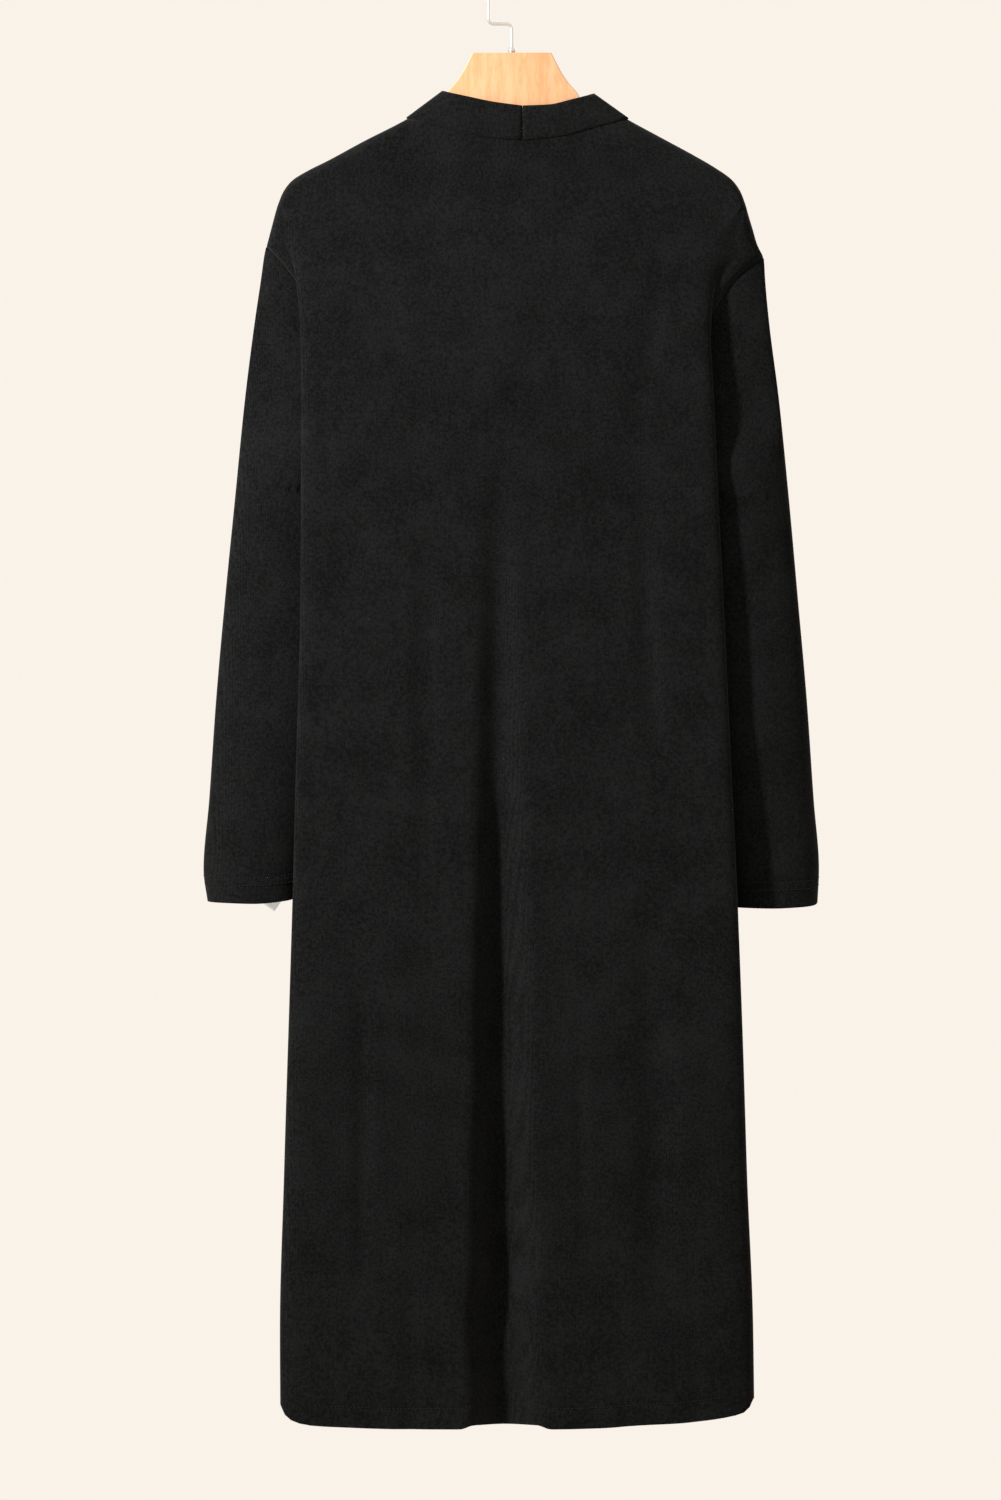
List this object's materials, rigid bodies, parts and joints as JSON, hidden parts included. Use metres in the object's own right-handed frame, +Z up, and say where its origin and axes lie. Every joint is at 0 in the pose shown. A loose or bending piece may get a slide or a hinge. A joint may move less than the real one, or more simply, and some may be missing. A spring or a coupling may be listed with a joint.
{
  "type": "long open-front cardigan on a wooden hanger",
  "caption": "Long open-front knit cardigan with dropped shoulders, straight sleeves and a banded edge, hanging on a flat wooden hanger with a wire hook.",
  "frame": {"origin": "inner top of the hanger's hook, where a rail holds it", "axes": "+Z up; the garment's back faces -Y and its open front faces +Y; +X is to the right when the back is seen, so the wearer's right"},
  "size_m": [0.5245, 0.0722, 1.243],
  "materials": {
    "knit": "brushed jersey knit, matte black",
    "label": "white woven satin, blank",
    "wood": "pale varnished beech",
    "steel": "bright plated wire"
  },
  "bodies": {
    "root": {"back": "knit", "front_left": "knit", "front_right": "knit", "sleeve_left": "knit", "sleeve_right": "knit", "band_left": "knit", "band_right": "knit", "care_label": "label", "hanger_board": "wood", "hanger_hook": "steel", "hanger_ferrule": "steel"}
  },
  "joints": []
}
